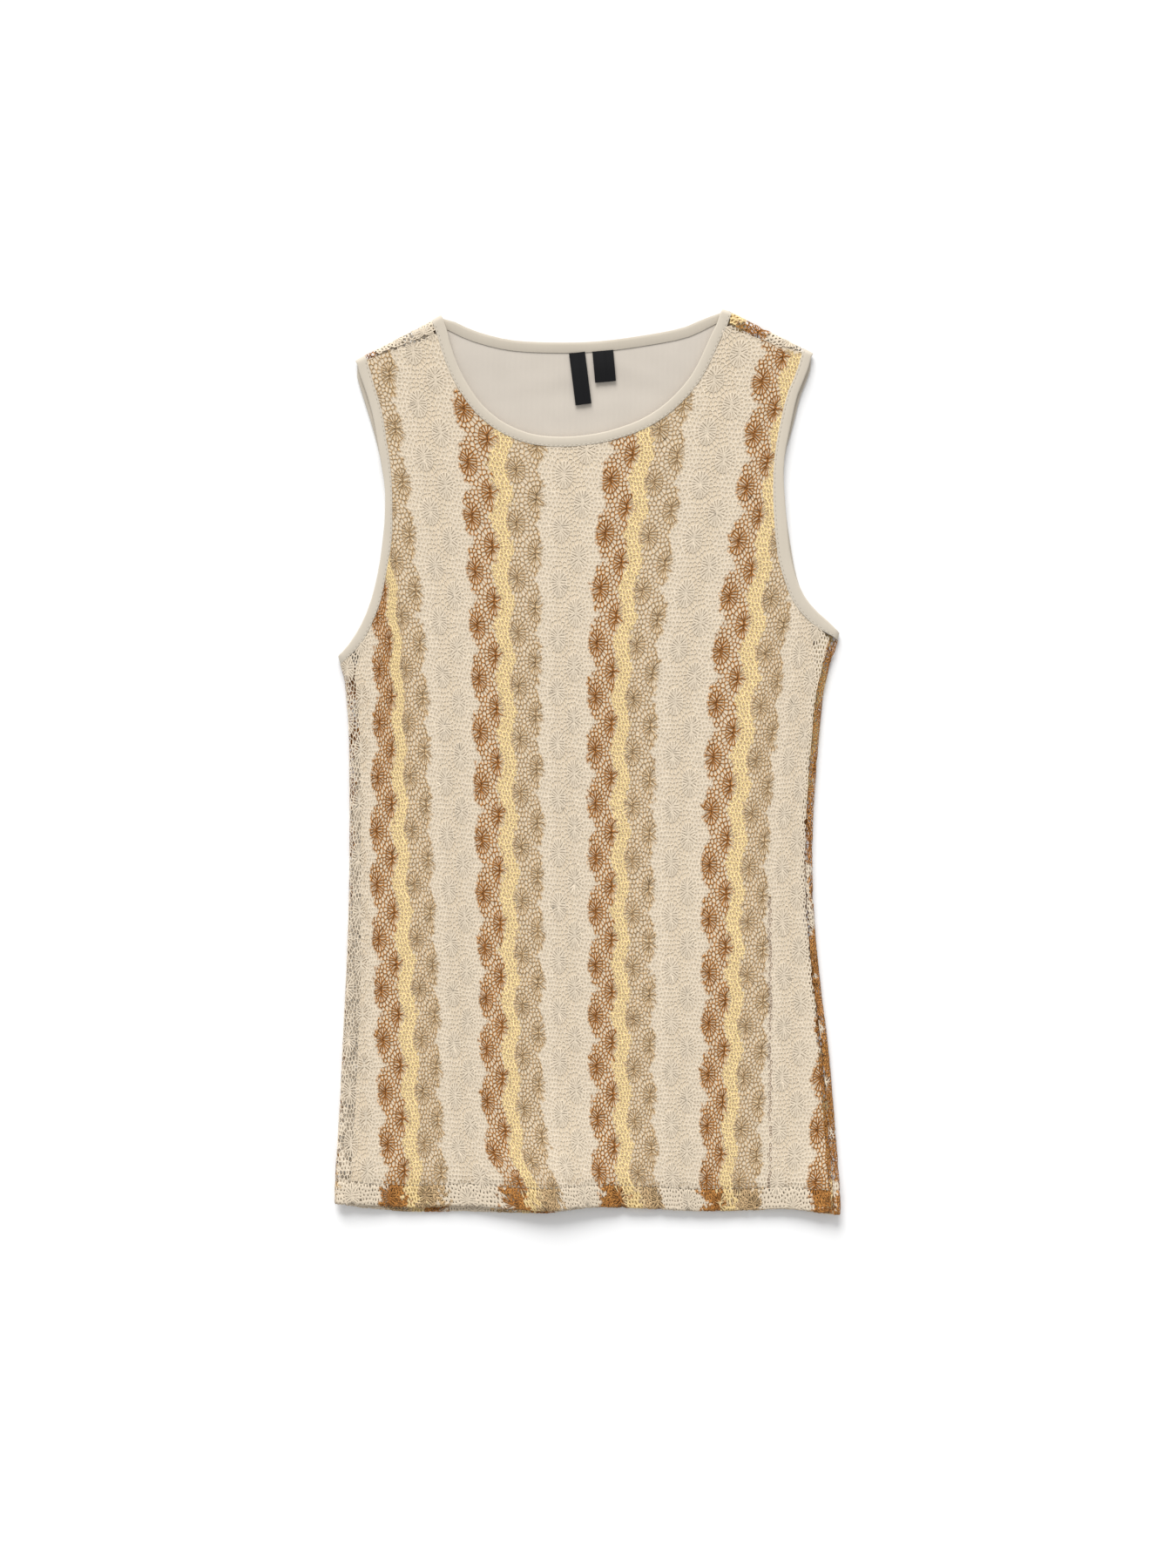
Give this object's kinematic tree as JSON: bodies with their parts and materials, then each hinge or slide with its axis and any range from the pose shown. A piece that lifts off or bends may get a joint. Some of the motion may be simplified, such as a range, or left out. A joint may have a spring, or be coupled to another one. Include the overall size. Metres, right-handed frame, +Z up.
{
  "type": "knit tank top",
  "caption": "Sleeveless scoop-neck knit top laid flat, striped openwork lace over a plain lining, with bound neck and armholes and a turned-up hem",
  "frame": {"origin": "on the surface the top lies on, under the middle of its outline", "axes": "+Y towards the neck, +Z up out of the front of the top, +X to the right as seen from above"},
  "size_m": [0.3484, 0.6244, 0.0106],
  "materials": {
    "lace": "matt openwork knit in cream, yellow, brown and taupe stripes",
    "lining": "matt fine jersey",
    "binding": "matt folded jersey band",
    "label": "soft satin ribbon"
  },
  "bodies": {
    "root": {"front_lace": "lace", "back_lace": "lace", "front_lining": "lining", "back_lining": "lining", "neck_binding": "binding", "left_armhole_binding": "binding", "right_armhole_binding": "binding", "main_label": "label", "care_label": "label"}
  },
  "joints": []
}
